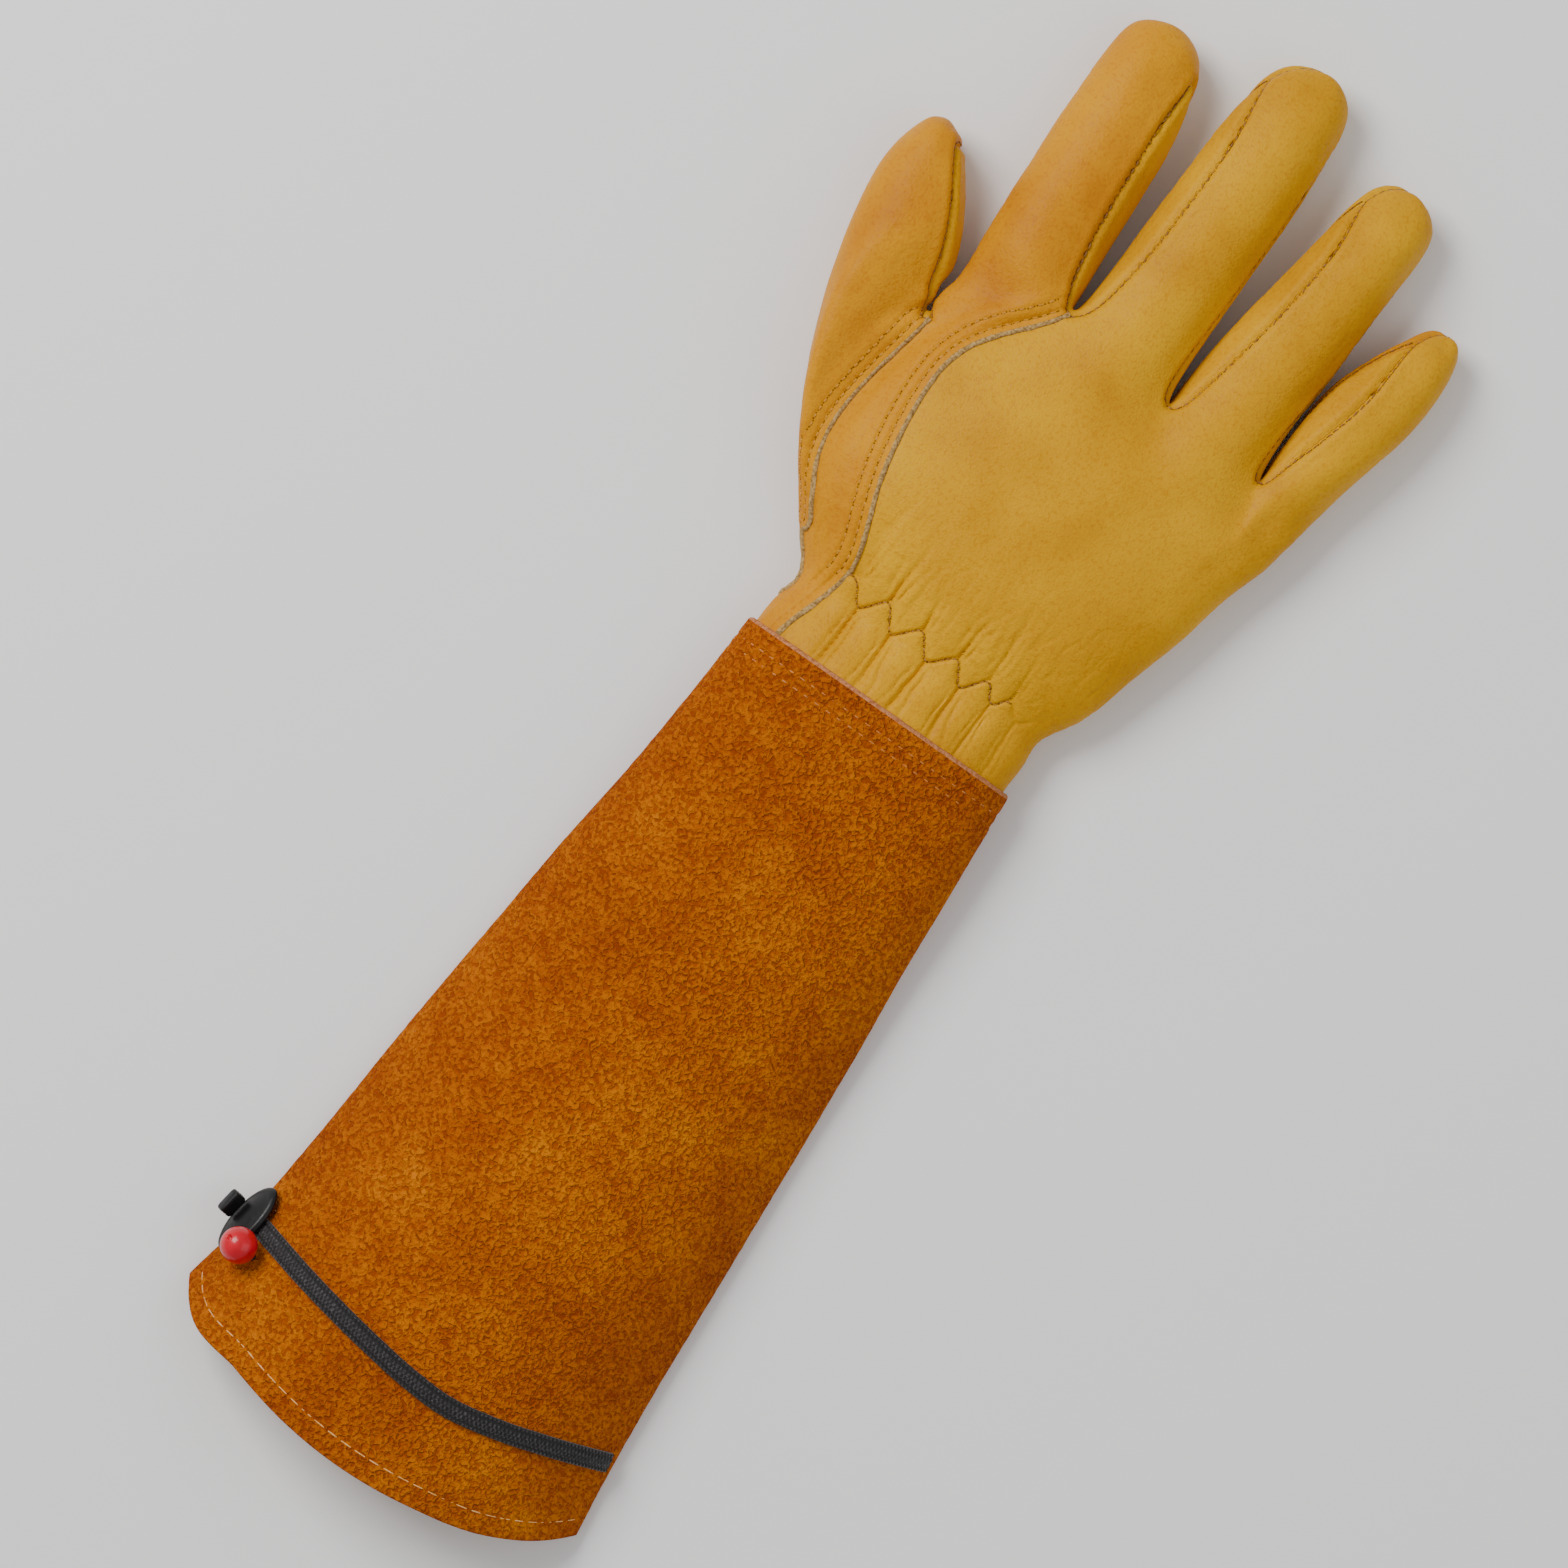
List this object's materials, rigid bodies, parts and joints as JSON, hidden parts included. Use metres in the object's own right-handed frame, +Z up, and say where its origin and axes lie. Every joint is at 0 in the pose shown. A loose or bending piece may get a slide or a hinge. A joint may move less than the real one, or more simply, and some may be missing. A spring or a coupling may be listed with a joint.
{
  "type": "rose pruning gauntlet",
  "caption": "Right-hand rose pruning gauntlet, back of the hand up: grain leather hand, suede palm patch and long flared suede cuff with a webbing strap, slider and bead.",
  "frame": {"origin": "centre of the bounding box's underside, on the surface that the glove lies on", "axes": "+Y runs from the cuff's mouth to the fingertips, +X is the little finger's side, +Z is up out of the back of the hand"},
  "size_m": [0.1602, 0.4608, 0.0354],
  "materials": {
    "grain_leather": "smooth grain, soft sheen",
    "suede": "crinkled suede nap, matt",
    "webbing": "woven, matt",
    "dark_plastic": "moulded, satin",
    "red_bead": "glossy"
  },
  "bodies": {
    "root": {"back_panel": "grain_leather", "palm_panel": "grain_leather", "finger_fronts": "grain_leather", "fourchette_index_middle": "grain_leather", "fourchette_middle_ring": "grain_leather", "fourchette_ring_little": "grain_leather", "thumb_wrap": "grain_leather", "thumb_gusset": "grain_leather", "palm_patch": "suede", "cuff": "suede", "strap": "webbing", "slider_plate": "dark_plastic", "slider_block": "dark_plastic", "bead": "red_bead", "bead_cord": "webbing"}
  },
  "joints": []
}
